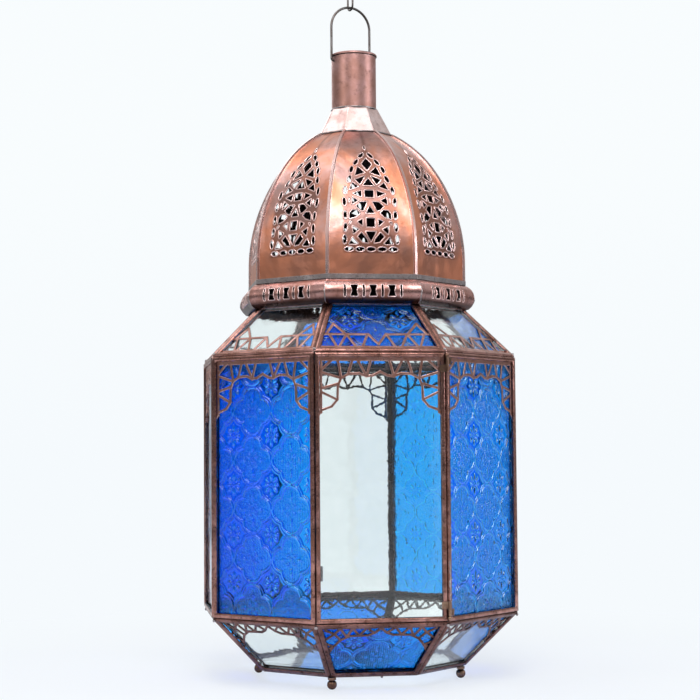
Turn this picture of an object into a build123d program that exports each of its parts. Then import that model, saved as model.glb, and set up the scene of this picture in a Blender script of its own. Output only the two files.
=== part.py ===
from build123d import *
import os
from math import atan2, cos, degrees, hypot, radians, sin, sqrt, tan

# Eight-sided pierced copper lantern. Millimetres, +Z up, the origin on the floor under
# the middle of the lantern. Side 0 faces -Y and is the door, and the sides count
# counterclockwise seen from above. A "corner radius" runs from the axis to a corner of
# the octagon, and a "flat" is the distance from the axis to the middle of a side.

# Driving dimensions of the body, which is a chain of four flat courses of panels.
sides = 8
foot_height = 11.3
floor_radius = 110.0
lower_height = 54.9
body_radius = 165.0
wall_height = 254.2
roof_height = 52.85
roof_top_radius = 110.0

# Came: the half-round channel that frames every pane.
came_width = 5.5
came_lip = 1.7
came_back = 0.8
came_round = 1.6
came_inner_round = 1.1
pane_tuck = 2.0
pane_thickness = 3.0
floor_pane_thickness = 4.0
fret_thickness = 1.0
fret_width = 2.3
fret_joint = 0.12
fret_tuck = 1.2
fit_gap = 0.12
seam_gap = 0.3
door_gap = 0.5

# Ring moulding between the roof and the dome.
ring_seat_thickness = 1.5
ring_seat_width = 15.5
ring_lift = 2.2
ring_height = 24.6
ring_overhang = 7.0
ring_bulge = 7.0
ring_top_inset = 3.0
ring_sheet = 1.0
ring_holes = 7
ring_hole_pitch = 9.2
ring_lens_size = (2.6, 12.5)
ring_bow_size = (8.6, 11.6)
ring_bow_waist = 4.816
ring_bow_round = 0.9

# Dome: eight gores, bent one way only, with a standing rib on each corner.
dome_band_height = 4.4
dome_band_overhang = 1.2
dome_band_width = 7.5
dome_inset = 2.2
dome_skirt = 19.0
dome_rise = 134.0
dome_top_radius = 39.5
dome_shoulder_tilt = 33.0
dome_top_tilt = 60.0
dome_sheet = 1.0
rib_width = 2.6
rib_proud = 1.5
rib_depth = 1.6
lattice_margin = 15.2
lattice_base = 24.1
lattice_head = 32.6

# Neck, and the wire bail in it.
collar_height = 27.5
collar_sheet = 1.4
neck_radius = 23.0
neck_wall = 1.2
neck_height = 58.5
neck_bead = 1.7
bail_wire = 2.5
bail_hole = 3.1
bail_hole_drop = 7.5
bail_azimuth = -70.7
bail_outside_gap = 2.7
bail_inside_gap = 3.0
bail_bend = 2.2
bail_tail = 2.6
bail_apex = 58.5
link_wire = 2.0
link_width = 12.5
link_length = 27.0
link_gap = 0.3

# Door hinges: two pairs of knuckles in the groove at the right corner of side 0.
knuckle_radius = 1.5
pin_radius = 0.7
pin_clearance = 0.08
knuckle_length = 6.5
knuckle_gap = 0.35
hinge_inset = 2.2
leaf_thickness = 0.8
leaf_reach = 7.5
pin_ball = 2.0

# Candle cup, feet and the two stops behind the free stile of the door.
cup_radius = 20.2
cup_wall = 0.8
cup_height = 14.0
cup_flange = 13.0
cup_base_thickness = 1.2
foot_inset = 4.5
foot_ball = 9.5
foot_flat = 1.4
foot_waist = 2.4
foot_collar = 4.0
foot_collar_height = 2.2
stop_thickness = 1.0
stop_reach = 4.6
stop_height = 14.0
stop_length = 18.4
stop_inset = 40.0

half_angle = 180 / sides
flat_share = cos(radians(half_angle))
side_share = tan(radians(half_angle))
came_depth = came_lip + fret_thickness + pane_thickness + 3 * fit_gap + came_back
pane_inset = came_width - pane_tuck + fit_gap
fret_inset = came_width - fret_tuck
ring_base_radius = roof_top_radius + ring_overhang
ring_bulge_radius = ring_base_radius + ring_bulge
ring_top_radius = ring_base_radius - ring_top_inset
dome_band_radius = ring_top_radius + dome_band_overhang
dome_base_radius = dome_band_radius - dome_inset
bail_outside = neck_radius + bail_outside_gap
bail_inside = neck_radius - neck_wall - bail_inside_gap
foot_radius = floor_radius - foot_inset

floor_level = foot_height
shoulder_level = floor_level + lower_height
eaves_level = shoulder_level + wall_height
roof_top_level = eaves_level + roof_height
ring_seat_level = roof_top_level + fit_gap
ring_base_reach = (body_radius - ring_base_radius) / (body_radius - roof_top_radius)
ring_base_level = eaves_level + roof_height * ring_base_reach + ring_lift
ring_top_level = ring_base_level + ring_height
band_base_level = ring_top_level + fit_gap
band_top_level = band_base_level + dome_band_height
dome_base_level = band_top_level + fit_gap
skirt_top_level = dome_base_level + dome_skirt
dome_top_level = skirt_top_level + dome_rise
collar_base_level = dome_top_level + fit_gap
neck_base_level = collar_base_level + collar_height + fit_gap
neck_top_level = neck_base_level + neck_height
bail_level = neck_top_level - bail_hole_drop
floor_glass_level = floor_level + came_lip + fit_gap
floor_glass_top = floor_glass_level + floor_pane_thickness
far = 4 * body_radius


def side_turn(index):
    """Rotation that carries side 0 to another side."""
    return Rotation(0, 0, 360 / sides * index)


def corner_turn(index):
    """Rotation that carries the +X direction to a corner; corner 0 is right of the door."""
    return Rotation(0, 0, -90 + half_angle + 360 / sides * index)


def side_face(points):
    """Closed outline in the middle plane of side 0, from (flat, height) points."""
    return make_face(Polyline([(0, -out, up) for out, up in points], close=True))


def sector(gap):
    """Wedge over side 0, set back by half a gap from each corner plane."""
    start = gap / 2 / sin(radians(half_angle))
    spread = (far - start) * side_share
    wedge = make_face(Polyline((0, -start), (spread, -far), (-spread, -far), close=True))
    return extrude(wedge, amount=far * 2)


def side_plate(profile, gap):
    """Solid over side 0: a profile in its middle plane, cut to the side's wedge."""
    plate = extrude(profile, amount=far / 2, dir=(1, 0, 0), both=True)
    return plate & sector(gap)


def octagon(radius, height, base_level, hole_radius=0.0):
    """Octagonal plate with corners where the lantern has them, and an optional hole."""
    plane = Plane.XY.offset(base_level)
    turn = Rotation(0, 0, half_angle)
    plate = extrude(plane * turn * RegularPolygon(radius, sides), amount=height)
    if hole_radius:
        plate -= extrude(plane * turn * RegularPolygon(hole_radius, sides), amount=height)
    return plate


# Courses of the body, from the floor to the roof, as (flat, height) points going up.
chain = [
    (0.0, floor_level),
    (floor_radius * flat_share, floor_level),
    (body_radius * flat_share, shoulder_level),
    (body_radius * flat_share, eaves_level),
    (roof_top_radius * flat_share, roof_top_level),
]
FLOOR, LOWER, WALL, ROOF = range(4)


def course_direction(course):
    """Unit direction up one course, in (flat, height)."""
    (out0, up0), (out1, up1) = chain[course], chain[course + 1]
    length = hypot(out1 - out0, up1 - up0)
    return (out1 - out0) / length, (up1 - up0) / length


def course_length(course):
    (out0, up0), (out1, up1) = chain[course], chain[course + 1]
    return hypot(out1 - out0, up1 - up0)


def course_plane(course):
    """Plane on the outer face of side 0 of a course: X along it, Y up it, Z outward."""
    out, up = chain[course]
    run, rise = course_direction(course)
    return Plane(origin=(0, -out, up), x_dir=(1, 0, 0), z_dir=(0, -rise, -run))


def inner_chain(depth):
    """The chain moved inward by a depth, with mitred corners and a level roof top."""
    lines = []
    for course in range(len(chain) - 1):
        run, rise = course_direction(course)
        out, up = chain[course]
        lines.append((out - rise * depth, up + run * depth, run, rise))
    points = [(0.0, lines[0][1])]
    for (out0, up0, run0, rise0), (out1, up1, run1, rise1) in zip(lines, lines[1:]):
        along = ((out1 - out0) * rise1 - (up1 - up0) * run1) / (run0 * rise1 - rise0 * run1)
        points.append((out0 + along * run0, up0 + along * rise0))
    out, up, run, rise = lines[-1]
    along = (chain[-1][1] - up) / rise
    points.append((out + along * run, chain[-1][1]))
    return points


def outline(course, inset):
    """Corners of side 0 of a course in its own plane, moved in from every edge."""
    low = chain[course][0] * side_share
    high = chain[course + 1][0] * side_share
    length = course_length(course)
    lean = (high - low) / length
    side_inset = inset * sqrt(1 + lean * lean)

    def half(level):
        return low + lean * level - side_inset

    return [
        (-half(inset), inset),
        (half(inset), inset),
        (half(length - inset), length - inset),
        (-half(length - inset), length - inset),
    ]


def slab(course, points, outer_depth, inner_depth):
    """Flat plate in a course between two depths below its outer face."""
    plane = course_plane(course).offset(-inner_depth)
    face = make_face(Polyline(points, close=True))
    return extrude(plane * face, amount=inner_depth - outer_depth)


def came_strip(course, edge, gap, trim):
    """One mitred length of channel along one edge of a panel, rounded in front."""
    outer, inner = chain, inner_chain(came_depth)
    foot, head = (0, trim), (0, -trim)
    corners = [(outer[course], foot), (outer[course + 1], head), (inner[course + 1], head),
               (inner[course], foot)]
    profile = side_face([(out + x, up + y) for (out, up), (x, y) in corners])
    blank = side_plate(profile, gap)
    rim = outline(course, 0)
    window = outline(course, came_width)
    mitre = outline(course, 2 * came_width)
    spread = [(2 * r[0] - w[0], 2 * r[1] - w[1]) for r, w in zip(rim, window)]
    after = (edge + 1) % 4
    wedge = slab(course, [spread[edge], spread[after], mitre[after], mitre[edge]],
                 -came_width, came_depth + came_width)
    strip = blank & wedge
    strip -= slab(course, window, -came_width, came_depth + came_width)
    groove_outer = came_lip
    groove_inner = came_depth - came_back
    strip -= slab(course, outline(course, came_width - pane_tuck), groove_outer, groove_inner)
    plane = course_plane(course)
    front = [e for e in strip.edges() if abs(plane.to_local_coords(e.center()).Z) < 1e-4]
    long_edges = sorted(front, key=lambda e: e.length)[-2:]
    middle = Vector(0, course_length(course) / 2, 0)
    near, away = sorted(
        long_edges,
        key=lambda e: (plane.to_local_coords(e.center()) - middle).length,
    )
    strip = fillet(away, came_round)
    near = [e for e in strip.edges() if (e.center() - near.center()).length < 1e-3]
    return fillet(near, came_inner_round)


def came_frame(course, gap=seam_gap, trim=0.0):
    """The four lengths of channel round one pane, trimmed at foot and head if it moves."""
    return [came_strip(course, edge, gap, trim) for edge in range(4)]


def pane(course):
    """Glass plate held in the channel's groove, behind the fretwork."""
    top = came_lip + fit_gap + fret_thickness + fit_gap
    return slab(course, outline(course, pane_inset), top, top + pane_thickness)


def bar(start, end, width):
    """Straight strip between two points, as a flat face."""
    length = hypot(end[0] - start[0], end[1] - start[1])
    turn = degrees(atan2(end[1] - start[1], end[0] - start[0]))
    middle = Pos((start[0] + end[0]) / 2, (start[1] + end[1]) / 2)
    return middle * Rotation(0, 0, turn) * Rectangle(length, width)


def mirrored(path):
    return [(-x, y) for x, y in path]


def fretwork(course, paths):
    """Flat cut-out strips on the glass; each path is drawn on both halves of the pane."""
    halves = [half for path in paths for half in (path, mirrored(path))]
    spots = {(round(x, 3), round(y, 3)) for half in halves for x, y in half}
    pieces = [bar(start, end, fret_width) for half in halves for start, end in zip(half, half[1:])]
    pieces += [Pos(*spot) * Circle(fret_width / 2 + fret_joint) for spot in sorted(spots)]
    face = pieces[0] + pieces[1:]
    plane = course_plane(course).offset(-came_lip - fit_gap - fret_thickness)
    sheet = extrude(plane * face, amount=fret_thickness)
    return sheet & slab(course, outline(course, fret_inset), came_lip, came_depth)


def wall_fretwork():
    """Band, scalloped outline and struts under the head of a wall pane."""
    head = course_length(WALL) - came_width
    side = chain[WALL][0] * side_share - came_width

    def place(points):
        return [(side - x, head - y) for x, y in points]

    centre = side
    outline_path = [
        (centre, 14.0), (centre - 7.0, 17.5), (centre - 13.0, 18.3), (centre - 20.0, 15.5),
        (28.0, 16.0), (20.5, 20.0), (17.5, 27.0), (17.0, 40.0), (11.5, 46.5), (1.6, 50.0),
        (-1.5, 56.0),
    ]
    struts = [
        [(centre, 1.4), (-1.5, 1.4)],
        [(centre, 2.8), (-1.5, 2.8)],
        [(1.6, -1.5), (1.6, 52.0)],
        [(centre - 8.5, 2.5), (centre - 13.0, 18.3), (centre - 21.5, 2.5)],
        [(31.5, 2.5), (27.0, 16.5)],
        [(17.5, 2.5), (20.5, 20.0), (2.0, 14.5)],
        [(12.5, 2.5), (2.0, 12.0)],
        [(2.0, 29.5), (18.0, 25.0)],
        [(2.0, 33.0), (16.5, 40.0)],
    ]
    return fretwork(WALL, [place(outline_path)] + [place(path) for path in struts])


def roof_fretwork():
    """Low zigzag that rises to the rafters, along the foot of a roof pane."""
    base = came_width
    side = chain[ROOF][0] * side_share - came_width

    def place(points):
        return [(side - x, base + y) for x, y in points]

    paths = [
        [(side, 2.2), (-1.5, 2.2)],
        [(side, 6.0), (side - 8.5, 20.0), (28.0, 20.0), (17.5, 35.0), (9.0, 20.0)],
        [(28.0, 20.0), (6.0, 20.0)],
        [(side - 9.5, 19.0), (side - 15.5, 3.0)],
        [(35.5, 3.0), (28.5, 20.0), (20.0, 3.0)],
        [(12.0, 20.0), (17.5, 3.0)],
    ]
    return fretwork(ROOF, [place(path) for path in paths])


def lower_fretwork():
    """Shallow zigzag under the head of a lower pane, deeper at the sides."""
    head = course_length(LOWER) - came_width
    side = chain[LOWER + 1][0] * side_share - came_width

    def place(points):
        return [(side - x, head - y) for x, y in points]

    centre = side
    paths = [
        [(centre, 1.2), (-1.5, 1.2)],
        [(centre, 2.5), (centre - 6.0, 9.0), (centre - 12.0, 12.0), (29.0, 12.5),
         (20.5, 18.0), (14.5, 27.0), (9.0, 39.0)],
        [(centre - 6.0, 9.0), (centre - 13.5, 1.5), (centre - 20.0, 12.2), (30.5, 1.5),
         (26.0, 14.0), (19.0, 2.0), (14.0, 9.5), (5.0, 4.0)],
        [(20.5, 18.0), (14.0, 9.5), (3.0, 20.0), (14.5, 27.0), (6.0, 32.0)],
    ]
    return fretwork(LOWER, [place(path) for path in paths])


# Ring moulding.


def ring_arc(inset):
    """Bowed section of the ring in the side's middle plane, moved in by an inset."""
    base = (ring_base_radius * flat_share, ring_base_level)
    bulge = (ring_bulge_radius * flat_share, ring_base_level + ring_height / 2)
    top = (ring_top_radius * flat_share, ring_top_level)
    return [(out - inset, up) for out, up in (base, bulge, top)]


def ring_flat(level):
    """Flat of the ring's outer face at a level, on the circle through its bowed section."""
    (out0, up0), (out1, up1), (out2, up2) = ring_arc(0)
    square0, square1, square2 = out0 ** 2 + up0 ** 2, out1 ** 2 + up1 ** 2, out2 ** 2 + up2 ** 2
    share = 2 * (out0 * (up1 - up2) + out1 * (up2 - up0) + out2 * (up0 - up1))
    out = (square0 * (up1 - up2) + square1 * (up2 - up0) + square2 * (up0 - up1)) / share
    up = (square0 * (out2 - out1) + square1 * (out0 - out2) + square2 * (out1 - out0)) / share
    return out + sqrt((out0 - out) ** 2 + (up0 - up) ** 2 - (level - up) ** 2)


def ring_seat():
    """Flange on the roof frames that the ring is soldered round."""
    radius = (ring_flat(ring_seat_level) - ring_sheet - fit_gap) / flat_share
    return octagon(radius, ring_seat_thickness, ring_seat_level, radius - ring_seat_width)


def ring_segment():
    """One side of the ring, with its row of lens and bow-tie holes."""
    outer = [(0, -out, up) for out, up in ring_arc(0)]
    inner = [(0, -out, up) for out, up in ring_arc(ring_sheet)]
    profile = make_face([
        ThreePointArc(*outer),
        Line(outer[2], inner[2]),
        ThreePointArc(*inner),
        Line(inner[0], outer[0]),
    ])
    segment = side_plate(profile, seam_gap)
    middle = ring_base_level + ring_height / 2
    front = Plane(origin=(0, -ring_bulge_radius, middle), x_dir=(1, 0, 0), z_dir=(0, -1, 0))
    lens_width, lens_height = ring_lens_size
    bow_width, bow_height = ring_bow_size
    lens = SlotOverall(lens_height, lens_width, rotation=90)
    waist = ring_bow_waist / 2
    bow = make_face(Polyline(
        (-bow_width / 2, -bow_height / 2), (bow_width / 2, -bow_height / 2), (waist, 0),
        (bow_width / 2, bow_height / 2), (-bow_width / 2, bow_height / 2), (-waist, 0),
        close=True,
    ))
    bow = fillet(bow.vertices(), ring_bow_round)
    for index in range(ring_holes):
        across = (index - (ring_holes - 1) / 2) * ring_hole_pitch
        hole = bow if index % 2 else lens
        segment -= extrude(front * Pos(across, 0) * hole, amount=-ring_bulge_radius)
    return segment


# Dome. The middle of each gore runs straight up the skirt, then along two tangent arcs.


def dome_arcs():
    """Radii of the two tangent arcs that join the skirt to the collar."""
    drop = (dome_base_radius - dome_top_radius) * flat_share
    shoulder, end = radians(dome_shoulder_tilt), radians(dome_top_tilt)
    up_low, up_high = sin(shoulder), sin(end) - sin(shoulder)
    in_low, in_high = 1 - cos(shoulder), cos(shoulder) - cos(end)
    share = up_low * in_high - up_high * in_low
    return (dome_rise * in_high - drop * up_high) / share, (drop * up_low - dome_rise * in_low) / share


def dome_station(distance, out=0.0):
    """Flat, height and tilt at a distance up a gore's middle line, moved out of it."""
    lower, upper = dome_arcs()
    shoulder = radians(dome_shoulder_tilt)
    flat = dome_base_radius * flat_share
    if distance <= dome_skirt:
        return flat + out, dome_base_level + distance, 0.0
    along = distance - dome_skirt
    if along <= lower * shoulder:
        tilt = along / lower
        reach = lower + out
        return flat - lower + reach * cos(tilt), skirt_top_level + reach * sin(tilt), tilt
    tilt = shoulder + (along - lower * shoulder) / upper
    reach = upper + out
    centre = flat - lower + (lower - upper) * cos(shoulder)
    centre_level = skirt_top_level + (lower - upper) * sin(shoulder)
    return centre + reach * cos(tilt), centre_level + reach * sin(tilt), tilt


def dome_length():
    """Length of a gore's middle line."""
    lower, upper = dome_arcs()
    shoulder = radians(dome_shoulder_tilt)
    return dome_skirt + lower * shoulder + upper * (radians(dome_top_tilt) - shoulder)


def dome_band(outer, inner):
    """Curved strip in the middle plane of side 0, between two offsets of the gore's line."""
    lower, upper = dome_arcs()
    shoulder = dome_skirt + lower * radians(dome_shoulder_tilt)
    stops = [0.0, dome_skirt, (dome_skirt + shoulder) / 2, shoulder,
             (shoulder + dome_length()) / 2, dome_length()]

    def points(out):
        return [Vector(0, -flat, up) for flat, up, tilt in (dome_station(s, out) for s in stops)]

    front, back = points(outer), points(inner)
    return make_face([
        Line(front[0], front[1]),
        ThreePointArc(*front[1:4]),
        ThreePointArc(*front[3:6]),
        Line(front[5], back[5]),
        ThreePointArc(*back[3:6]),
        ThreePointArc(*back[1:4]),
        Line(back[1], back[0]),
        Line(back[0], front[0]),
    ])


# The dome's lattice, drawn on the right half of a flat window of this half width and
# height, up from the middle of its foot row. Holes on the middle line are drawn whole.
lattice_drawing = (28.0, 119.2)
middle_holes = [
    [(0, 101), (5.6, 92.4), (0, 83.5), (-5.6, 92.4)],
    [(0, 76), (6.2, 65.9), (-6.2, 65.9)],
    [(-5, 61.3), (5, 61.3), (4.6, 52.4), (-4.6, 52.4)],
    [(0, 44.8), (5, 35.7), (-5, 35.7)],
    [(-4.5, 31.5), (4.5, 31.5), (4.5, 21.6), (-4.5, 21.6)],
    [(-5.9, 17.9), (5.9, 17.9), (3, 12.1), (0, 6.7), (-3, 12.1)],
]
half_holes = [
    [(9.4, 90), (1.9, 81.6), (13.6, 76.9)],
    [(1.9, 78.4), (13.6, 73.3), (8.2, 66.8)],
    [(16, 70.5), (9.2, 65), (20, 60.4)],
    [(7, 61.2), (7.4, 52.9), (17, 57.2)],
    [(17.2, 53.9), (10.3, 49.3), (18, 44.5)],
    [(20.3, 56.4), (19.2, 49.4), (21.2, 42.9)],
    [(2, 48.9), (9.2, 48.5), (14.3, 43.5), (10.4, 39.4), (6.6, 37.9)],
    [(9.3, 36), (12.8, 39.9), (17.7, 39.9), (20.8, 35.8), (21.1, 29.6), (14, 31.9)],
    [(7.2, 31.1), (13.6, 27.4), (7.6, 22.1)],
    [(17.4, 28.6), (21.2, 27.4), (21.2, 23)],
    [(10.8, 19.6), (18.6, 23.9), (17.4, 14)],
    [(3.6, 10.1), (9.4, 17.2), (13.8, 12.4), (8.6, 6.6), (2.2, 5.5)],
    [(18.4, 12.6), (12.2, 5.6), (14.8, 4.4), (22.2, 4.4)],
]
edge_ovals = [
    (4.6, 104.1), (10.4, 94.9), (15.6, 85.4), (18.7, 73.8), (23.4, 60.7), (25, 48.1), (24.7, 34.1),
    (24.9, 21.5), (25.9, 9.5),
]
foot_ovals = [0, 10.8, 21.7]
oval_size = (4.3, 9.4)
foot_oval_size = (5, 9.2)
tip_oval_size = (2.6, 7)
tip_oval = 115.7
lattice_corner = 0.5


def lattice_cutter(spots):
    """Prism through the gore for one hole, square to the sheet at the hole's middle."""
    middle = sum(y for x, y in spots) / len(spots)
    face = make_face(Polyline([(x, y - middle) for x, y in spots], close=True))
    face = fillet(face.vertices(), lattice_corner)
    return extrude(gore_plane(middle) * face, amount=3 * dome_sheet, both=True)


def oval_cutter(x, level, turn, size):
    """Prism through the gore for one oval of a border."""
    width, length = size
    face = Pos(x, 0) * Rotation(0, 0, turn) * Ellipse(width / 2, length / 2)
    return extrude(gore_plane(level) * face, amount=3 * dome_sheet, both=True)


def gore_plane(distance):
    """Plane that touches the gore at a distance up its middle line."""
    flat, up, tilt = dome_station(distance, -dome_sheet / 2)
    return Plane(origin=(0, -flat, up), x_dir=(1, 0, 0), z_dir=(0, -cos(tilt), sin(tilt)))


def dome_gore():
    """One gore of the dome with its pointed lattice window."""
    gore = side_plate(dome_band(0, -dome_sheet), rib_width + 2 * fit_gap)
    width, height = lattice_drawing
    wider = (dome_base_radius * flat_share * side_share - lattice_margin) / width
    higher = (dome_length() - lattice_base - lattice_head) / height

    def spot(x, y):
        return x * wider, lattice_base + y * higher

    holes = middle_holes + half_holes + [mirrored(points) for points in half_holes]
    cutters = [lattice_cutter([spot(x, y) for x, y in points]) for points in holes]
    ends = edge_ovals[1:] + [(edge_ovals[-1][0], 0)]
    for here, after in zip(edge_ovals, ends):
        (x, level), (after_x, after_level) = spot(*here), spot(*after)
        turn = degrees(atan2(after_x - x, level - after_level))
        cutters += [oval_cutter(hand * x, level, hand * turn, oval_size) for hand in (-1, 1)]
    for across in foot_ovals:
        x, level = spot(across, 0)
        cutters += [oval_cutter(hand * x, level, 90, foot_oval_size) for hand in ((-1, 1) if x else (1,))]
    cutters.append(oval_cutter(*spot(0, tip_oval), 0, tip_oval_size))
    return gore - cutters


def dome_rib():
    """Standing seam on one corner of the dome, on the +X side."""
    stops = [dome_length() * share / 12 for share in range(13)]

    def edge(out):
        spots = [dome_station(stop, out) for stop in stops]
        return [(flat / flat_share, 0, up) for flat, up, tilt in spots]

    outer, inner = edge(rib_proud), edge(-rib_depth)
    face = make_face([
        Spline(*outer),
        Line(outer[-1], inner[-1]),
        Spline(*inner),
        Line(inner[0], outer[0]),
    ])
    return extrude(face, amount=rib_width / 2, dir=(0, 1, 0), both=True)


# Collar, neck and what hangs the lantern.


def collar():
    """Eight-sided sheet cone from the dome to the neck, with a level top for the tube."""
    turn = Rotation(0, 0, half_angle)
    low, high = Plane.XY.offset(collar_base_level), Plane.XY.offset(collar_base_level + collar_height)
    top_radius = (neck_radius + fit_gap) / flat_share

    def cone(inset):
        faces = [low * turn * RegularPolygon(dome_top_radius - inset, sides),
                 high * turn * RegularPolygon(top_radius - inset, sides)]
        return loft(faces, ruled=True)

    bore = Cylinder(neck_radius - neck_wall, far)
    return cone(0) - cone(collar_sheet / flat_share) - bore


def neck_tube():
    """Tube with a rolled bead at its mouth and two holes for the bail."""
    inner = neck_radius - neck_wall
    wall = Pos(0, 0, neck_base_level) * Cylinder(
        neck_radius, neck_height - neck_bead, align=(Align.CENTER, Align.CENTER, Align.MIN))
    bead_level = neck_top_level - neck_bead
    bead = Pos(0, 0, bead_level) * Torus(neck_radius - neck_wall / 2, neck_bead)
    bore = Cylinder(inner, 2 * far)
    tube = (wall + bead) - bore
    hole = Pos(0, 0, bail_level) * Rotation(0, 90, 0) * Cylinder(bail_hole / 2, 4 * neck_radius)
    return tube - bail_turn() * hole


def bail_turn():
    """Rotation that carries +X to the bail's outside leg."""
    return Rotation(0, 0, bail_azimuth - 90)


def bail():
    """Wire bail: it enters one hole from outside and the other from inside."""
    top = bail_level + bail_apex - bail_wire / 2
    arch = (bail_outside + bail_inside) / 2
    spring = top - arch
    middle = (bail_outside - bail_inside) / 2
    tail_in = neck_radius - neck_wall - bail_tail
    tail_out = neck_radius + bail_tail
    low = bail_level
    inside_bend = bail_inside_gap
    slope = sin(radians(45))
    path = Wire([
        Line((tail_in, 0, low), (bail_outside - bail_bend, 0, low)),
        ThreePointArc(
            (bail_outside - bail_bend, 0, low),
            (bail_outside - bail_bend + bail_bend * slope, 0, low + bail_bend - bail_bend * slope),
            (bail_outside, 0, low + bail_bend)),
        Line((bail_outside, 0, low + bail_bend), (bail_outside, 0, spring)),
        ThreePointArc((bail_outside, 0, spring), (middle, 0, top), (-bail_inside, 0, spring)),
        Line((-bail_inside, 0, spring), (-bail_inside, 0, low + inside_bend)),
        ThreePointArc(
            (-bail_inside, 0, low + inside_bend),
            (-bail_inside - inside_bend + inside_bend * slope, 0,
             low + inside_bend - inside_bend * slope),
            (-bail_inside - inside_bend, 0, low)),
        Line((-bail_inside - inside_bend, 0, low), (-tail_out, 0, low)),
    ])
    start = Plane(origin=(tail_in, 0, low), z_dir=(1, 0, 0))
    wire = sweep(start * Circle(bail_wire / 2), path=path)
    return bail_turn() * wire


def hanging_link():
    """Oval link round the top of the bail, standing up as its chain holds it."""
    top = bail_level + bail_apex - bail_wire / 2
    middle = (bail_outside - bail_inside) / 2
    half = (link_width - link_wire) / 2
    low = top - bail_wire / 2 - link_gap - link_wire / 2 + half
    high = low + link_length - link_width
    path = Wire([
        ThreePointArc((middle, -half, low), (middle, 0, low - half), (middle, half, low)),
        Line((middle, half, low), (middle, half, high)),
        ThreePointArc((middle, half, high), (middle, 0, high + half), (middle, -half, high)),
        Line((middle, -half, high), (middle, -half, low)),
    ])
    start = Plane(origin=(middle, half, (low + high) / 2), z_dir=(0, 0, 1))
    return bail_turn() * sweep(start * Circle(link_wire / 2), path=path)


# Door hinges. Their axis stands in the groove between the door and side 1.


def hinge_radius():
    """Corner radius of the hinge axis, set so that the pin's ball clears both stiles."""
    corner = radians(90 - half_angle)
    back = came_round / tan(corner / 2)
    reach = came_round + pin_ball + seam_gap
    return body_radius - back + sqrt(reach ** 2 - (came_round + seam_gap / 2) ** 2)


def hinge_axis():
    """X and Y of the hinge axis."""
    turn = radians(half_angle)
    return hinge_radius() * sin(turn), -hinge_radius() * cos(turn)


def knuckle(level, side):
    """Knuckle with its leaf on the front of side 0 or side 1."""
    x, y = hinge_axis()
    face = body_radius * flat_share + fit_gap
    corner = hinge_radius() * sin(radians(half_angle))
    hand = -1 if side == 0 else 1
    leaf = Pos(-hand * corner + hand * leaf_reach / 2, -face - leaf_thickness / 2, level) * Box(
        leaf_reach, leaf_thickness, knuckle_length,
        align=(Align.CENTER, Align.CENTER, Align.MIN))
    barrel = Pos(x, y, level) * Cylinder(
        knuckle_radius, knuckle_length, align=(Align.CENTER, Align.CENTER, Align.MIN))
    bore = Pos(x, y, level) * Cylinder(pin_radius + pin_clearance, far)
    return side_turn(side) * leaf + barrel - bore


def hinge_levels():
    """Foot of the fixed knuckle, the door knuckle and the pin, for both hinges."""
    reach = knuckle_length + knuckle_gap
    low = shoulder_level + hinge_inset + 2 * pin_ball
    high = eaves_level - hinge_inset - 2 * pin_ball - knuckle_length
    return [(low, low + reach, low), (high, high - reach, high - reach)]


def hinge_pin(level, ball_below):
    """Wire pin through a pair of knuckles, with a ball at its outer end."""
    x, y = hinge_axis()
    length = 2 * knuckle_length + knuckle_gap
    rise = sqrt(pin_ball ** 2 - pin_radius ** 2) + fit_gap
    start = level - rise if ball_below else level
    shaft = Pos(x, y, start) * Cylinder(
        pin_radius, length + rise, align=(Align.CENTER, Align.CENTER, Align.MIN))
    return shaft + Pos(x, y, start if ball_below else level + length + rise) * Sphere(pin_ball)


def door_stop(level):
    """Bent tab inside the left corner, behind the free stile of the door."""
    outer = body_radius - (came_depth + door_gap) / flat_share
    ring = octagon(outer, stop_height, level, outer - stop_thickness / flat_share)
    window = corner_turn(-1) * Pos(outer, 0, level + stop_height / 2) * Box(
        stop_length, 2 * stop_reach, stop_height)
    return ring & window


# Floor, feet and candle cup.


def floor_strip():
    """Channel along one side of the floor, open towards the glass."""
    inner = inner_chain(came_depth)
    out, up = chain[FLOOR + 1]
    window = out - came_width
    profile = side_face([(window, up), (out, up), inner[FLOOR + 1], (window, up + came_depth)])
    groove = side_face([
        (window - 1, up + came_lip), (window + pane_tuck, up + came_lip),
        (window + pane_tuck, up + came_depth - came_back), (window - 1, up + came_depth - came_back)])
    strip = side_plate(profile, seam_gap) - side_plate(groove, 0)
    low = [e for e in strip.edges().filter_by(Axis.X) if abs(e.center().Z - up) < 1e-4]
    low.sort(key=lambda e: e.center().Y)
    strip = fillet(low[0], came_round)
    low = [e for e in strip.edges().filter_by(Axis.X) if abs(e.center().Z - up) < 1e-4]
    return fillet(max(low, key=lambda e: e.center().Y), came_inner_round)


def floor_glass():
    """Clear glass floor in its channel."""
    return octagon(floor_radius - pane_inset / flat_share, floor_pane_thickness, floor_glass_level)


def ball_foot():
    """Turned foot: a ball with a small flat, a waist and a collar under the floor frame."""
    ball = foot_ball / 2
    centre = sqrt(ball ** 2 - foot_flat ** 2)
    collar_top = foot_height - fit_gap
    bottom = (Align.CENTER, Align.CENTER, Align.MIN)
    foot = Pos(0, 0, centre) * Sphere(ball)
    foot += Pos(0, 0, centre) * Cylinder(foot_waist, collar_top - centre, align=bottom)
    foot += Pos(0, 0, collar_top - foot_collar_height) * Cylinder(
        foot_collar, foot_collar_height, align=bottom)
    foot &= Cylinder(ball * 2, far, align=bottom)
    return Pos(foot_radius, 0, 0) * foot


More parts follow.
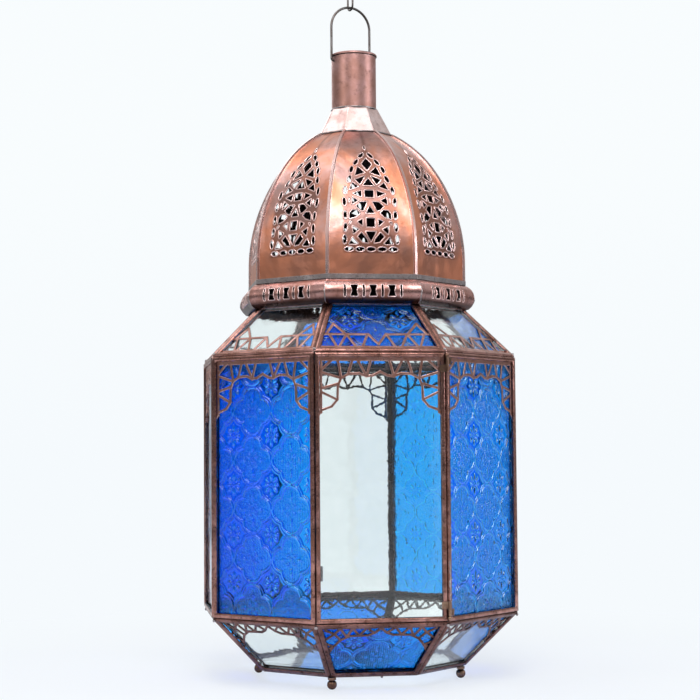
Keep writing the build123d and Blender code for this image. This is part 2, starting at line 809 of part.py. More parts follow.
def candle_cup():
    """Sheet dish with an upright collar that holds a tea light."""
    bottom = (Align.CENTER, Align.CENTER, Align.MIN)
    level = floor_glass_top + fit_gap
    dish = Cylinder(cup_radius + cup_wall + cup_flange, cup_base_thickness, align=bottom)
    wall = Cylinder(cup_radius + cup_wall, cup_height, align=bottom)
    well = Pos(0, 0, cup_base_thickness) * Cylinder(cup_radius, cup_height, align=bottom)
    return Pos(0, 0, level) * (dish + wall - well)


def moved(shapes, turn):
    return [turn * shape for shape in shapes]


def write(name, *shapes):
    """Write one node, whose pieces stay separate solids."""
    solids = [solid for shape in shapes for solid in shape.solids()]
    export_step(solids[0] if len(solids) == 1 else Compound(children=solids), f"parts/{name}.step")


def write_body():
    """Panels of the lantern's body; blue panes alternate with clear ones."""
    frame, glass = came_frame(WALL), pane(WALL)
    for side in range(1, sides):
        write(f"wall_frame_{side}", *moved(frame, side_turn(side)))
        write(f"wall_glass_{side}", side_turn(side) * glass)
    fret = wall_fretwork()
    write("wall_fretwork", *[side_turn(side) * fret for side in range(1, sides)])
    for name, course, fret in (("roof", ROOF, roof_fretwork()), ("lower", LOWER, lower_fretwork())):
        frame, glass = came_frame(course), pane(course)
        turns = [side_turn(side) for side in range(sides)]
        write(f"{name}_frames", *[piece for turn in turns for piece in moved(frame, turn)])
        write(f"{name}_glass_blue", *[turn * glass for turn in turns[0::2]])
        write(f"{name}_glass_clear", *[turn * glass for turn in turns[1::2]])
        write(f"{name}_fretwork", *[turn * fret for turn in turns])


def write_door():
    """The clear front panel, its hinges and the stops that it shuts against."""
    write("door_frame", *came_frame(WALL, gap=2 * door_gap, trim=door_gap))
    write("door_glass", pane(WALL))
    write("door_fretwork", wall_fretwork())
    levels = hinge_levels()
    write("frame_knuckles", *[knuckle(fixed, 1) for fixed, hung, foot in levels])
    write("door_knuckles", *[knuckle(hung, 0) for fixed, hung, foot in levels])
    write("hinge_pins", hinge_pin(levels[0][2], True), hinge_pin(levels[1][2], False))
    write("door_stops", door_stop(shoulder_level + stop_inset),
          door_stop(eaves_level - stop_inset - stop_height))


def write_floor():
    """Floor, feet and candle cup."""
    strip, foot = floor_strip(), ball_foot()
    write("floor_frame", *[side_turn(side) * strip for side in range(sides)])
    write("floor_glass", floor_glass())
    for number, corner in enumerate((0, 2, 4, 6), start=1):
        write(f"ball_foot_{number}", corner_turn(corner - 1) * foot)
    write("candle_cup", candle_cup())


def write_top():
    """Ring moulding, dome, collar, neck and bail."""
    write("ring_seat", ring_seat())
    segment, gore, rib = ring_segment(), dome_gore(), dome_rib()
    write("ring_segments", *[side_turn(side) * segment for side in range(sides)])
    write("dome_band", octagon(dome_band_radius, dome_band_height, band_base_level,
                               dome_band_radius - dome_band_width))
    for side in range(sides):
        write(f"dome_gore_{side}", side_turn(side) * gore)
    write("dome_ribs", *[corner_turn(corner) * rib for corner in range(sides)])
    write("collar", collar())
    write("neck_tube", neck_tube())
    write("bail", bail())
    write("hanging_link", hanging_link())


os.makedirs("parts", exist_ok=True)
write_body()
write_door()
write_floor()
write_top()
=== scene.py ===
import math

import bmesh
import bpy
import numpy as np
from mathutils import Matrix, Vector, noise


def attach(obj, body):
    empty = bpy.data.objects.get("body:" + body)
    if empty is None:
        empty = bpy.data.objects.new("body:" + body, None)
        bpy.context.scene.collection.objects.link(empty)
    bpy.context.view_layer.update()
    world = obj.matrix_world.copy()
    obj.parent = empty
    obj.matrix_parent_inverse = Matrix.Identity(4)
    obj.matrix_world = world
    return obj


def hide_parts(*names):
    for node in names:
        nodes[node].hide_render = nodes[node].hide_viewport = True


# Eight-sided copper lantern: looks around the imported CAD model, in metres, +Z up.
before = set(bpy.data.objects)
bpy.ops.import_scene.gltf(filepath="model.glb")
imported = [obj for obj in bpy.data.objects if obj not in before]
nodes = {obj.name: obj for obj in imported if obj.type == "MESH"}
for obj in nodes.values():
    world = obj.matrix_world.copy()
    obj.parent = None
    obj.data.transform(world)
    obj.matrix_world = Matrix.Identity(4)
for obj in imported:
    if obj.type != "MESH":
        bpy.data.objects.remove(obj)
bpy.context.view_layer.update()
scene = bpy.context.scene
noise.seed_set(7)  # without a seed, noise_vector gives another result on each run
print("frame loaded:", len(nodes), "nodes")

mm = 0.001
sideCount = 8
sideAngle = math.tau / sideCount
flatShare = math.cos(sideAngle / 2)
sideShare = math.tan(sideAngle / 2)

# the body's courses from the floor frame up
# corners and flats are distances from the axis, the rest are levels
course = {
    "floorCorner": 110.0 * mm,
    "wallCorner": 165.0 * mm,
    "floorFlat": 110.0 * flatShare * mm,
    "wallFlat": 165.0 * flatShare * mm,
    "roofFlat": 110.0 * flatShare * mm,
    "floor": 11.3 * mm,
    "shoulder": 66.2 * mm,
    "eaves": 320.4 * mm,
    "roofTop": 373.25 * mm,
}
channel = {"paneInset": 3.62 * mm, "paneFace": 2.94 * mm, "paneThick": 3.0 * mm}
weld = 0.01 * mm  # points nearer than this are one point

cameraView = {
    "distance": 1.715, "azimuth": -8.68, "height": 0.2243,
    "yaw": 0.20, "pitch": 3.55, "roll": -0.43, "lens": 86.0, "sensor": 36.0,
}


def placeCamera():
    az = math.radians(cameraView["azimuth"])
    turn = az + math.radians(cameraView["yaw"])
    pitch = math.radians(cameraView["pitch"])
    roll = math.radians(cameraView["roll"])
    ahead = Vector((-math.sin(turn) * math.cos(pitch), math.cos(turn) * math.cos(pitch), math.sin(pitch)))
    right = ahead.cross(Vector((0, 0, 1))).normalized()
    up = right.cross(ahead)
    rolledRight = math.cos(roll) * right + math.sin(roll) * up
    rolledUp = math.cos(roll) * up - math.sin(roll) * right
    camera = bpy.data.objects.new("camera", bpy.data.cameras.new("camera"))
    camera.data.lens = cameraView["lens"]
    camera.data.sensor_width = cameraView["sensor"]
    camera.data.clip_end = 30
    turnMatrix = Matrix((rolledRight, rolledUp, -ahead)).transposed().to_4x4()
    out = cameraView["distance"]
    place = Matrix.Translation((math.sin(az) * out, -math.cos(az) * out, cameraView["height"]))
    camera.matrix_world = place @ turnMatrix
    scene.collection.objects.link(camera)
    scene.camera = camera


placeCamera()
print("camera placed")


def feed(tree, socket, value):
    # a socket is linked, anything else becomes the default
    if isinstance(value, bpy.types.NodeSocket):
        tree.links.new(value, socket)
    else:
        socket.default_value = value


def addNode(tree, kind, inputs=None, **settings):
    node = tree.nodes.new(kind)
    for name, value in settings.items():
        setattr(node, name, value)
    for name, value in (inputs or {}).items():
        feed(tree, node.inputs[name], value)
    return node


def maths(tree, operation, a, b=0.0, clamp=False):
    node = addNode(tree, "ShaderNodeMath", {0: a, 1: b}, operation=operation, use_clamp=clamp)
    return node.outputs[0]


def scaledSum(tree, a, b, share, clamp=False):
    # a plus a share of b
    return maths(tree, "ADD", a, maths(tree, "MULTIPLY", b, share), clamp)


def mixColour(tree, factor, a, b):
    node = addNode(tree, "ShaderNodeMix", data_type="RGBA", blend_type="MIX", clamp_factor=True)
    feed(tree, node.inputs[0], factor)
    feed(tree, node.inputs[6], a)
    feed(tree, node.inputs[7], b)
    return node.outputs[2]


def mapRange(tree, value, low, high, toLow=0.0, toHigh=1.0, smooth=False):
    node = addNode(tree, "ShaderNodeMapRange", {
        "Value": value, "From Min": low, "From Max": high, "To Min": toLow, "To Max": toHigh})
    if smooth:
        node.interpolation_type = "SMOOTHSTEP"
    return node.outputs[0]


def noiseAt(tree, coords, scale, detail=3.0, rough=0.55, distort=0.0):
    return addNode(tree, "ShaderNodeTexNoise", {
        "Vector": coords, "Scale": scale, "Detail": detail, "Roughness": rough, "Distortion": distort})


def objectParts(tree):
    # x, y and z of a point in the object's own space
    coords = tree.nodes.new("ShaderNodeTexCoord").outputs["Object"]
    parts = addNode(tree, "ShaderNodeSeparateXYZ", {0: coords})
    return [parts.outputs[axis] for axis in "XYZ"]


def newTree(name):
    # an empty material with its output node
    material = bpy.data.materials.new(name)
    material.use_nodes = True
    tree = material.node_tree
    tree.nodes.clear()
    output = tree.nodes.new("ShaderNodeOutputMaterial")
    return material, tree, output


studio = {
    "floorSize": 9.0,
    "floorColour": (0.90, 0.93, 0.96, 1),
    "floorShadow": 0.34,  # share of the lit floor that is seen near the lantern
    "shadowReach": 0.75,
    "shadowCore": 0.08,
    "white": (0.915, 0.955, 0.985, 1),
    "overhead": (0.94, 0.975, 0.99, 1),
    "overheadLevel": 0.16,
    "ambient": 0.42,
    "ambientColour": (0.95, 0.97, 1.0, 1),
    # the room that metal mirrors, over direction Z and then Y: from, to, dim, bright
    "mirroredSky": (0.07, 0.40, 0.03, 0.48),
    "mirroredBack": (0.1, 0.9, 0.0, 0.35),
    "lamps": [
        # name, place, aim, size, watts, colour
        ("frontLamp", (-0.15, -1.45, 1.6), (0, 0, 0.45), 1.1, 18, (1.0, 0.95, 0.96)),
        ("leftLamp", (-1.9, -0.9, 1.2), (0, 0, 0.35), 0.8, 8, (1.0, 0.97, 0.96)),
        ("rightLamp", (2.0, -0.8, 0.75), (0, 0, 0.35), 0.8, 13, (0.97, 0.95, 1.0)),
        ("crownLamp", (-0.9, 0.3, 2.1), (0, 0, 0.5), 1.0, 5, (1.0, 0.96, 0.97)),
        ("highLamp", (-0.2, -0.75, 2.3), (0, 0, 0.5), 0.7, 8, (1.0, 0.96, 0.97)),
        ("rimLamp", (-0.4, 2.2, 1.4), (0, 0, 0.45), 1.4, 7, (0.96, 0.98, 1.0)),
    ],
}


def makeFloor():
    # the lit floor and its soft shadow fade into the plain pale surround
    bm = bmesh.new()
    bmesh.ops.create_grid(bm, x_segments=2, y_segments=2, size=studio["floorSize"])
    mesh = bpy.data.meshes.new("studioFloor")
    bm.to_mesh(mesh)
    bm.free()
    floor = bpy.data.objects.new("studioFloor", mesh)
    scene.collection.objects.link(floor)
    material, tree, output = newTree("paleFloor")
    lit = addNode(tree, "ShaderNodeBsdfDiffuse", {"Color": studio["floorColour"]})
    plain = addNode(tree, "ShaderNodeEmission", {"Color": studio["white"], "Strength": 1.0})
    path = tree.nodes.new("ShaderNodeLightPath")
    coords = tree.nodes.new("ShaderNodeTexCoord").outputs["Object"]
    away = addNode(tree, "ShaderNodeVectorMath", {0: coords}, operation="LENGTH").outputs["Value"]
    near = mapRange(tree, away, studio["shadowReach"], studio["shadowCore"], 0.0, studio["floorShadow"], True)
    seen = maths(tree, "ADD", path.outputs["Is Camera Ray"], path.outputs["Is Transmission Ray"], True)
    share = maths(tree, "MULTIPLY", seen, maths(tree, "SUBTRACT", 1.0, near))
    mixed = addNode(tree, "ShaderNodeMixShader", {0: share, 1: lit.outputs[0], 2: plain.outputs[0]})
    tree.links.new(mixed.outputs[0], output.inputs["Surface"])
    mesh.materials.append(material)


def makeWorld():
    # plain and pale wherever it is seen, with a dim room for the metal to mirror
    world = bpy.data.worlds.new("studio")
    scene.world = world
    world.use_nodes = True
    tree = world.node_tree
    tree.nodes.clear()
    output = tree.nodes.new("ShaderNodeOutputWorld")
    path = tree.nodes.new("ShaderNodeLightPath")
    direction = tree.nodes.new("ShaderNodeTexCoord").outputs["Generated"]
    parts = addNode(tree, "ShaderNodeSeparateXYZ", {0: direction})
    sky = mapRange(tree, parts.outputs["Z"], *studio["mirroredSky"], True)
    behind = mapRange(tree, parts.outputs["Y"], *studio["mirroredBack"], True)
    room = maths(tree, "ADD", sky, behind, True)
    rise = mapRange(tree, parts.outputs["Z"], 0.0, studio["overheadLevel"])
    seenColour = mixColour(tree, rise, studio["white"], studio["overhead"])
    seen = addNode(tree, "ShaderNodeBackground", {"Color": seenColour, "Strength": 1.0})
    mirrored = addNode(tree, "ShaderNodeBackground", {"Color": (1, 1, 1, 1), "Strength": room})
    ambient = addNode(tree, "ShaderNodeBackground", {
        "Color": studio["ambientColour"], "Strength": studio["ambient"]})
    first = addNode(tree, "ShaderNodeMixShader", {
        0: path.outputs["Is Glossy Ray"], 1: ambient.outputs[0], 2: mirrored.outputs[0]})
    looks = maths(tree, "ADD", path.outputs["Is Camera Ray"], path.outputs["Is Transmission Ray"], True)
    second = addNode(tree, "ShaderNodeMixShader", {0: looks, 1: first.outputs[0], 2: seen.outputs[0]})
    tree.links.new(second.outputs[0], output.inputs["Surface"])


def hangLamps():
    for name, place, aim, size, watts, colour in studio["lamps"]:
        lamp = bpy.data.lights.new(name, "AREA")
        lamp.shape = "DISK"
        lamp.size = size
        lamp.energy = watts
        lamp.color = colour
        holder = bpy.data.objects.new(name, lamp)
        holder.location = place
        holder.rotation_euler = (Vector(aim) - Vector(place)).to_track_quat("-Z", "Y").to_euler()
        scene.collection.objects.link(holder)


makeFloor()
makeWorld()
hangLamps()
scene.view_settings.view_transform = "Standard"
print("stage, world and lamps set")


def newGroup(name, inputs, outputs):
    group = bpy.data.node_groups.new(name, "ShaderNodeTree")
    for label, kind, value in inputs:
        socket = group.interface.new_socket(label, in_out="INPUT", socket_type=kind)
        socket.default_value = value
    for label, kind in outputs:
        group.interface.new_socket(label, in_out="OUTPUT", socket_type=kind)
    return group, group.nodes.new("NodeGroupInput"), group.nodes.new("NodeGroupOutput")


# scales are of the noise, and each range is from, to, least, most
edgeLook = {"lean": (0.97, 0.72, 0.0, 1.0), "scale": 160.0, "patches": (0.30, 0.62, 0.35, 1.0)}
grimeAndShadeLook = {"shut": (0.62, 0.18, 0.0, 1.0), "scale": 70.0, "patches": (0.25, 0.65, 0.45, 1.0)}
patinaLook = {
    "warm": (0.36, 0.64, 0.0, 1.0), "spots": (0.50, 0.74, 0.0, 1.0), "spotShare": 5.0,
    "fineScale": 1400.0, "bigScale": 38.0, "midScale": 120.0,
    "warmDull": 0.4, "spotDull": 0.8, "fineDull": 0.25, "midDent": 0.22, "fineDent": 0.012,
}


def makeEdgeWearAndHighlight():
    # how far the rounded normal leans from the true one, broken up by noise; it paints rounded edges paler,
    # partly as wear and partly as painted highlight
    group, given, result = newGroup("edgeWearAndHighlight", [
        ("Radius", "NodeSocketFloat", 0.0008), ("Amount", "NodeSocketFloat", 1.0)],
        [("Mask", "NodeSocketFloat")])
    rounded = addNode(group, "ShaderNodeBevel", {"Radius": given.outputs["Radius"]}, samples=4)
    surface = group.nodes.new("ShaderNodeNewGeometry")
    lean = addNode(group, "ShaderNodeVectorMath", {
        0: rounded.outputs[0], 1: surface.outputs["Normal"]}, operation="DOT_PRODUCT")
    edge = mapRange(group, lean.outputs["Value"], *edgeLook["lean"], True)
    coords = group.nodes.new("ShaderNodeTexCoord").outputs["Object"]
    patches = noiseAt(group, coords, edgeLook["scale"])
    uneven = mapRange(group, patches.outputs["Fac"], *edgeLook["patches"])
    mask = maths(group, "MULTIPLY", edge, uneven)
    mask = maths(group, "MULTIPLY", mask, given.outputs["Amount"], True)
    group.links.new(mask, result.inputs["Mask"])
    return group


def makeGrimeAndShade():
    # dark dirt that gathers in the corners, together with painted shade there, from near occlusion
    group, given, result = newGroup("grimeAndShade", [
        ("Distance", "NodeSocketFloat", 0.006), ("Amount", "NodeSocketFloat", 1.0)],
        [("Mask", "NodeSocketFloat")])
    near = addNode(group, "ShaderNodeAmbientOcclusion", {"Distance": given.outputs["Distance"]},
                   samples=4, only_local=False)
    shut = mapRange(group, near.outputs["AO"], *grimeAndShadeLook["shut"], True)
    coords = group.nodes.new("ShaderNodeTexCoord").outputs["Object"]
    patches = noiseAt(group, coords, grimeAndShadeLook["scale"], 4.0)
    uneven = mapRange(group, patches.outputs["Fac"], *grimeAndShadeLook["patches"])
    mask = maths(group, "MULTIPLY", shut, uneven)
    mask = maths(group, "MULTIPLY", mask, given.outputs["Amount"], True)
    group.links.new(mask, result.inputs["Mask"])
    return group


def makePatina():
    # clouds of tarnish over bright metal, with small spots and a value for dents
    group, given, result = newGroup("patina", [
        ("Bright", "NodeSocketColor", (0.9, 0.6, 0.5, 1)),
        ("Warm", "NodeSocketColor", (0.6, 0.35, 0.2, 1)),
        ("Dark", "NodeSocketColor", (0.2, 0.12, 0.1, 1)),
        ("Cloud Size", "NodeSocketFloat", 18.0),
        ("Spotting", "NodeSocketFloat", 0.5)],
        [("Color", "NodeSocketColor"), ("Dull", "NodeSocketFloat"), ("Dents", "NodeSocketFloat")])
    coords = group.nodes.new("ShaderNodeTexCoord").outputs["Object"]
    look = patinaLook
    clouds = noiseAt(group, coords, given.outputs["Cloud Size"], 4.0, 0.6, 0.3)
    smallScale = maths(group, "MULTIPLY", given.outputs["Cloud Size"], look["spotShare"])
    small = noiseAt(group, coords, smallScale, 5.0, 0.65)
    fine = noiseAt(group, coords, look["fineScale"], 2.0)
    warm = mapRange(group, clouds.outputs["Fac"], *look["warm"], True)
    colour = mixColour(group, warm, given.outputs["Bright"], given.outputs["Warm"])
    spots = mapRange(group, small.outputs["Fac"], *look["spots"], True)
    spots = maths(group, "MULTIPLY", spots, given.outputs["Spotting"], True)
    colour = mixColour(group, spots, colour, given.outputs["Dark"])
    dull = scaledSum(group, maths(group, "MULTIPLY", warm, look["warmDull"]), spots, look["spotDull"])
    dull = scaledSum(group, dull, fine.outputs["Fac"], look["fineDull"])
    big = noiseAt(group, coords, look["bigScale"], 1.0, 0.4)
    mid = noiseAt(group, coords, look["midScale"], 2.0)
    dents = scaledSum(group, big.outputs["Fac"], mid.outputs["Fac"], look["midDent"])
    dents = scaledSum(group, dents, fine.outputs["Fac"], look["fineDent"])
    group.links.new(colour, result.inputs["Color"])
    group.links.new(dull, result.inputs["Dull"])
    group.links.new(dents, result.inputs["Dents"])
    return group


edgeWearAndHighlight = makeEdgeWearAndHighlight()
grimeAndShade = makeGrimeAndShade()
patina = makePatina()


def useGroup(tree, group, inputs):
    node = tree.nodes.new("ShaderNodeGroup")
    node.node_tree = group
    for name, value in inputs.items():
        feed(tree, node.inputs[name], value)
    return node


# one dictionary per metal finish; warmHigh and warmLow are levels, and so are the two levels that bound the
# painted shade under the ring
metals = {
    "domeCopper": {
        "bright": (0.58, 0.40, 0.385, 1), "warm": (0.66, 0.26, 0.15, 1), "dark": (0.24, 0.10, 0.075, 1),
        "warmHigh": 0.455, "warmLow": 0.405, "pierced": True,
        "cloud": 15.0, "spotting": 0.45, "wornAndHighlit": (1.0, 0.84, 0.80, 1), "wearAndHighlight": 1.0, "wearAndHighlightRadius": 0.0011,
        "dirtAndShade": (0.06, 0.03, 0.024, 1), "grimeAndShade": 0.75, "grimeAndShadeReach": 0.008,
        "smooth": 0.25, "rough": 0.50, "dent": 0.0011, "inside": (0.022, 0.013, 0.011, 1),
    },
    "collarCopper": {
        "bright": (0.90, 0.72, 0.70, 1), "warm": (0.66, 0.46, 0.42, 1), "dark": (0.26, 0.16, 0.14, 1),
        "cloud": 34.0, "spotting": 0.5, "wornAndHighlit": (1.0, 0.92, 0.90, 1), "wearAndHighlight": 0.9, "wearAndHighlightRadius": 0.0009,
        "dirtAndShade": (0.06, 0.03, 0.024, 1), "grimeAndShade": 0.8, "grimeAndShadeReach": 0.005,
        "smooth": 0.26, "rough": 0.46, "dent": 0.0006, "round": 0.0030, "inside": (0.022, 0.013, 0.011, 1),
    },
    "neckCopper": {
        "bright": (0.54, 0.32, 0.295, 1), "warm": (0.38, 0.20, 0.16, 1), "dark": (0.22, 0.12, 0.10, 1),
        "cloud": 30.0, "spotting": 0.75, "wornAndHighlit": (1.0, 0.86, 0.82, 1), "wearAndHighlight": 0.8, "wearAndHighlightRadius": 0.0009,
        "dirtAndShade": (0.06, 0.03, 0.024, 1), "grimeAndShade": 0.8, "grimeAndShadeReach": 0.006,
        "smooth": 0.40, "rough": 0.56, "dent": 0.0004, "inside": (0.022, 0.013, 0.011, 1),
    },
    "ringCopper": {
        "bright": (0.60, 0.34, 0.31, 1), "warm": (0.36, 0.165, 0.125, 1), "dark": (0.10, 0.05, 0.04, 1),
        "cloud": 26.0, "spotting": 0.6, "wornAndHighlit": (1.0, 0.86, 0.83, 1), "wearAndHighlight": 1.0, "wearAndHighlightRadius": 0.0012,
        "dirtAndShade": (0.02, 0.011, 0.010, 1), "grimeAndShade": 1.0, "grimeAndShadeReach": 0.014,
        "smooth": 0.22, "rough": 0.46, "dent": 0.0012, "inside": (0.020, 0.012, 0.010, 1),
        # levels of the painted shade under the ring
        "underShadeHigh": 0.3805, "underShadeLow": 0.3710,
    },
    "ribCopper": {
        "bright": (0.92, 0.70, 0.67, 1), "warm": (0.74, 0.50, 0.46, 1), "dark": (0.26, 0.16, 0.14, 1),
        "cloud": 40.0, "spotting": 0.5, "wornAndHighlit": (1.0, 0.90, 0.88, 1), "wearAndHighlight": 1.0, "wearAndHighlightRadius": 0.0008,
        "dirtAndShade": (0.05, 0.03, 0.025, 1), "grimeAndShade": 1.0, "grimeAndShadeReach": 0.004,
        "smooth": 0.22, "rough": 0.42, "dent": 0.0005, "inside": (0.02, 0.012, 0.01, 1),
    },
    "channelCopper": {
        "bright": (0.50, 0.265, 0.225, 1), "warm": (0.27, 0.13, 0.10, 1), "dark": (0.045, 0.026, 0.022, 1),
        "cloud": 46.0, "spotting": 0.9, "wornAndHighlit": (1.0, 0.80, 0.76, 1), "wearAndHighlight": 1.0, "wearAndHighlightRadius": 0.0007,
        "dirtAndShade": (0.014, 0.009, 0.008, 1), "grimeAndShade": 1.0, "grimeAndShadeReach": 0.005,
        "smooth": 0.15, "rough": 0.44, "dent": 0.0009, "round": 0.0024, "inside": (0.03, 0.018, 0.015, 1),
    },
    "umberChannel": {
        "bright": (0.27, 0.14, 0.12, 1), "warm": (0.13, 0.065, 0.054, 1), "dark": (0.025, 0.016, 0.014, 1),
        "cloud": 50.0, "spotting": 0.9, "wornAndHighlit": (0.75, 0.52, 0.48, 1), "wearAndHighlight": 0.8, "wearAndHighlightRadius": 0.0006,
        "dirtAndShade": (0.010, 0.007, 0.006, 1), "grimeAndShade": 1.0, "grimeAndShadeReach": 0.005,
        "smooth": 0.15, "rough": 0.42, "dent": 0.0008, "round": 0.0024, "inside": (0.02, 0.013, 0.012, 1),
    },
    "fretCopper": {
        "bright": (0.62, 0.35, 0.30, 1), "warm": (0.34, 0.165, 0.125, 1), "dark": (0.08, 0.045, 0.036, 1),
        "cloud": 70.0, "spotting": 0.7, "wornAndHighlit": (1.0, 0.78, 0.72, 1), "wearAndHighlight": 1.0, "wearAndHighlightRadius": 0.0006,
        "dirtAndShade": (0.03, 0.018, 0.015, 1), "grimeAndShade": 0.7, "grimeAndShadeReach": 0.002,
        "smooth": 0.24, "rough": 0.46, "dent": 0.0007, "round": 0.0010, "inside": (0.03, 0.018, 0.015, 1),
    },
    "greySolder": {
        "bright": (0.50, 0.46, 0.46, 1), "warm": (0.30, 0.25, 0.24, 1), "dark": (0.06, 0.05, 0.048, 1),
        "cloud": 70.0, "spotting": 0.8, "wornAndHighlit": (0.92, 0.88, 0.88, 1), "wearAndHighlight": 0.9, "wearAndHighlightRadius": 0.0007,
        "dirtAndShade": (0.02, 0.016, 0.015, 1), "grimeAndShade": 0.9, "grimeAndShadeReach": 0.004,
        "smooth": 0.26, "rough": 0.55, "dent": 0.0012, "inside": (0.03, 0.026, 0.025, 1),
    },
    "agedBrass": {
        "bright": (0.34, 0.22, 0.15, 1), "warm": (0.18, 0.10, 0.07, 1), "dark": (0.05, 0.03, 0.022, 1),
        "cloud": 80.0, "spotting": 0.7, "wornAndHighlit": (0.80, 0.62, 0.50, 1), "wearAndHighlight": 0.7, "wearAndHighlightRadius": 0.0005,
        "dirtAndShade": (0.02, 0.013, 0.010, 1), "grimeAndShade": 0.9, "grimeAndShadeReach": 0.003,
        "smooth": 0.22, "rough": 0.46, "dent": 0.0003, "inside": (0.05, 0.03, 0.02, 1),
    },
    "darkWire": {
        "bright": (0.20, 0.19, 0.19, 1), "warm": (0.13, 0.11, 0.10, 1), "dark": (0.04, 0.035, 0.03, 1),
        "cloud": 90.0, "spotting": 0.6, "wornAndHighlit": (0.42, 0.40, 0.39, 1), "wearAndHighlight": 0.5, "wearAndHighlightRadius": 0.0004,
        "dirtAndShade": (0.02, 0.018, 0.016, 1), "grimeAndShade": 0.6, "grimeAndShadeReach": 0.003,
        "smooth": 0.30, "rough": 0.5, "dent": 0.0003, "inside": (0.04, 0.035, 0.03, 1),
    },
}
domeMiddle = 0.40
warmShare, underShadeShare = 0.8, 0.92  # how strong the warm foot of the dome and the painted shade under the ring are
insideFacing = (-0.15, -0.45)
dirtRough = 0.3  # what dirt adds to the roughness
fullDull = 1.2


def sootAndShadeInside(tree):
    # 1 on the faces that look back at the middle of the dome; their dark colour stands for soot and for
    # painted shade inside the lantern
    coords = tree.nodes.new("ShaderNodeTexCoord").outputs["Object"]
    outward = addNode(tree, "ShaderNodeVectorMath", {0: coords, 1: (0, 0, domeMiddle)}, operation="SUBTRACT")
    outward = addNode(tree, "ShaderNodeVectorMath", {0: outward.outputs[0]}, operation="NORMALIZE")
    surface = tree.nodes.new("ShaderNodeNewGeometry")
    facing = addNode(tree, "ShaderNodeVectorMath", {
        0: surface.outputs["Normal"], 1: outward.outputs[0]}, operation="DOT_PRODUCT")
    return mapRange(tree, facing.outputs["Value"], *insideFacing)


# painted shade: the pierced window of each gore is painted darker, standing for the shaded walls of its bars
latticeShade = {
    "halfWidth": 27.0 * mm, "pointWidth": 1.0 * mm, "taperLow": 0.468, "taperHigh": 0.529,
    "foot": 0.4175, "soft": 1.6 * mm, "depth": 0.62, "colour": (0.13, 0.06, 0.045, 1),
}


def latticeMask(tree):
    # 1 over the pierced window of each gore, found by folding the octagon onto one side
    look = latticeShade
    x, y, z = objectParts(tree)
    angle = maths(tree, "ARCTAN2", x, maths(tree, "MULTIPLY", y, -1.0))
    turns = maths(tree, "ROUND", maths(tree, "DIVIDE", angle, sideAngle))
    folded = maths(tree, "SUBTRACT", angle, maths(tree, "MULTIPLY", turns, sideAngle))
    squares = maths(tree, "ADD", maths(tree, "MULTIPLY", x, x), maths(tree, "MULTIPLY", y, y))
    reach = maths(tree, "SQRT", squares)
    across = maths(tree, "ABSOLUTE", maths(tree, "MULTIPLY", reach, maths(tree, "SINE", folded)))
    width = mapRange(tree, z, look["taperLow"], look["taperHigh"], look["halfWidth"], look["pointWidth"])
    inward = mapRange(tree, maths(tree, "SUBTRACT", width, across), -look["soft"], look["soft"])
    above = mapRange(tree, z, look["foot"], look["foot"] + look["soft"])
    return maths(tree, "MULTIPLY", inward, above)


def makeMetal(name):
    look = metals[name]
    material, tree, output = newTree(name)
    skin = useGroup(tree, patina, {
        "Bright": look["bright"], "Warm": look["warm"], "Dark": look["dark"],
        "Cloud Size": look["cloud"], "Spotting": look["spotting"]})
    wornAndHighlit = useGroup(tree, edgeWearAndHighlight, {"Radius": look["wearAndHighlightRadius"], "Amount": look["wearAndHighlight"]})
    dirtAndShade = useGroup(tree, grimeAndShade, {"Distance": look["grimeAndShadeReach"], "Amount": look["grimeAndShade"]})
    colour = skin.outputs["Color"]
    if "warmHigh" in look:
        # warmer towards the foot of the dome
        warmFoot = mapRange(tree, objectParts(tree)[2], look["warmHigh"], look["warmLow"], 0.0, warmShare, True)
        colour = mixColour(tree, warmFoot, colour, look["warm"])
    if "pierced" in look:
        shade = maths(tree, "MULTIPLY", latticeMask(tree), latticeShade["depth"])
        colour = mixColour(tree, shade, colour, latticeShade["colour"])
    # painted highlight: rounded edges are painted paler, partly as real wear
    colour = mixColour(tree, wornAndHighlit.outputs["Mask"], colour, look["wornAndHighlit"])
    # painted shade in corners and gaps, mixed with dirt
    colour = mixColour(tree, dirtAndShade.outputs["Mask"], colour, look["dirtAndShade"])
    # painted shade: the lower part of the ring is darkened towards the dark colour
    if "underShadeHigh" in look:
        underShade = mapRange(tree, objectParts(tree)[2], look["underShadeHigh"], look["underShadeLow"], 0.0, underShadeShare, True)
        colour = mixColour(tree, underShade, colour, look["dirtAndShade"])
    # faces turned inward take the dark inside colour: soot and painted shade
    colour = mixColour(tree, sootAndShadeInside(tree), colour, look["inside"])
    rough = mapRange(tree, skin.outputs["Dull"], 0.0, fullDull, look["smooth"], look["rough"])
    rough = scaledSum(tree, rough, dirtAndShade.outputs["Mask"], dirtRough, True)
    bump = addNode(tree, "ShaderNodeBump", {
        "Strength": 1.0, "Distance": look["dent"], "Height": skin.outputs["Dents"]})
    if "round" in look:
        rolled = addNode(tree, "ShaderNodeBevel", {"Radius": look["round"]}, samples=6)
        tree.links.new(rolled.outputs[0], bump.inputs["Normal"])
    metal = addNode(tree, "ShaderNodeBsdfPrincipled", {
        "Base Color": colour, "Metallic": 1.0, "Roughness": rough, "Normal": bump.outputs[0]})
    tree.links.new(metal.outputs[0], output.inputs["Surface"])
    return material


metalMaterials = {name: makeMetal(name) for name in metals}

